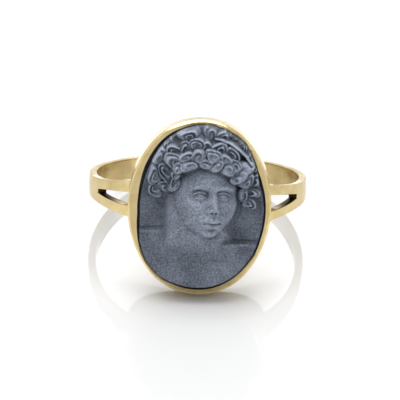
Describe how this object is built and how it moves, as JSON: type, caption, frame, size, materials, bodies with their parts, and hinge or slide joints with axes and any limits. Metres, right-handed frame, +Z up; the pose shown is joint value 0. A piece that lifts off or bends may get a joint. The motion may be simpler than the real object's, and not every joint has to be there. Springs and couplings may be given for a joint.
{
  "type": "cameo ring",
  "caption": "Gold finger ring with split shoulders and an oval bezel holding a lava stone cameo carved in high relief with a curly-haired head, lying as it rests.",
  "frame": {"origin": "on the surface that the ring rests on, under the middle of its box", "axes": "+Z up from that surface; the cameo faces -Y and up; the finger's axis leans back in the YZ plane"},
  "size_m": [0.0186, 0.0216, 0.0144],
  "materials": {
    "gold": "polished yellow gold, softly worn",
    "lava": "matte grey-blue carved lava"
  },
  "bodies": {
    "root": {"ring_mount": "gold", "lava_cameo": "lava"}
  },
  "joints": []
}
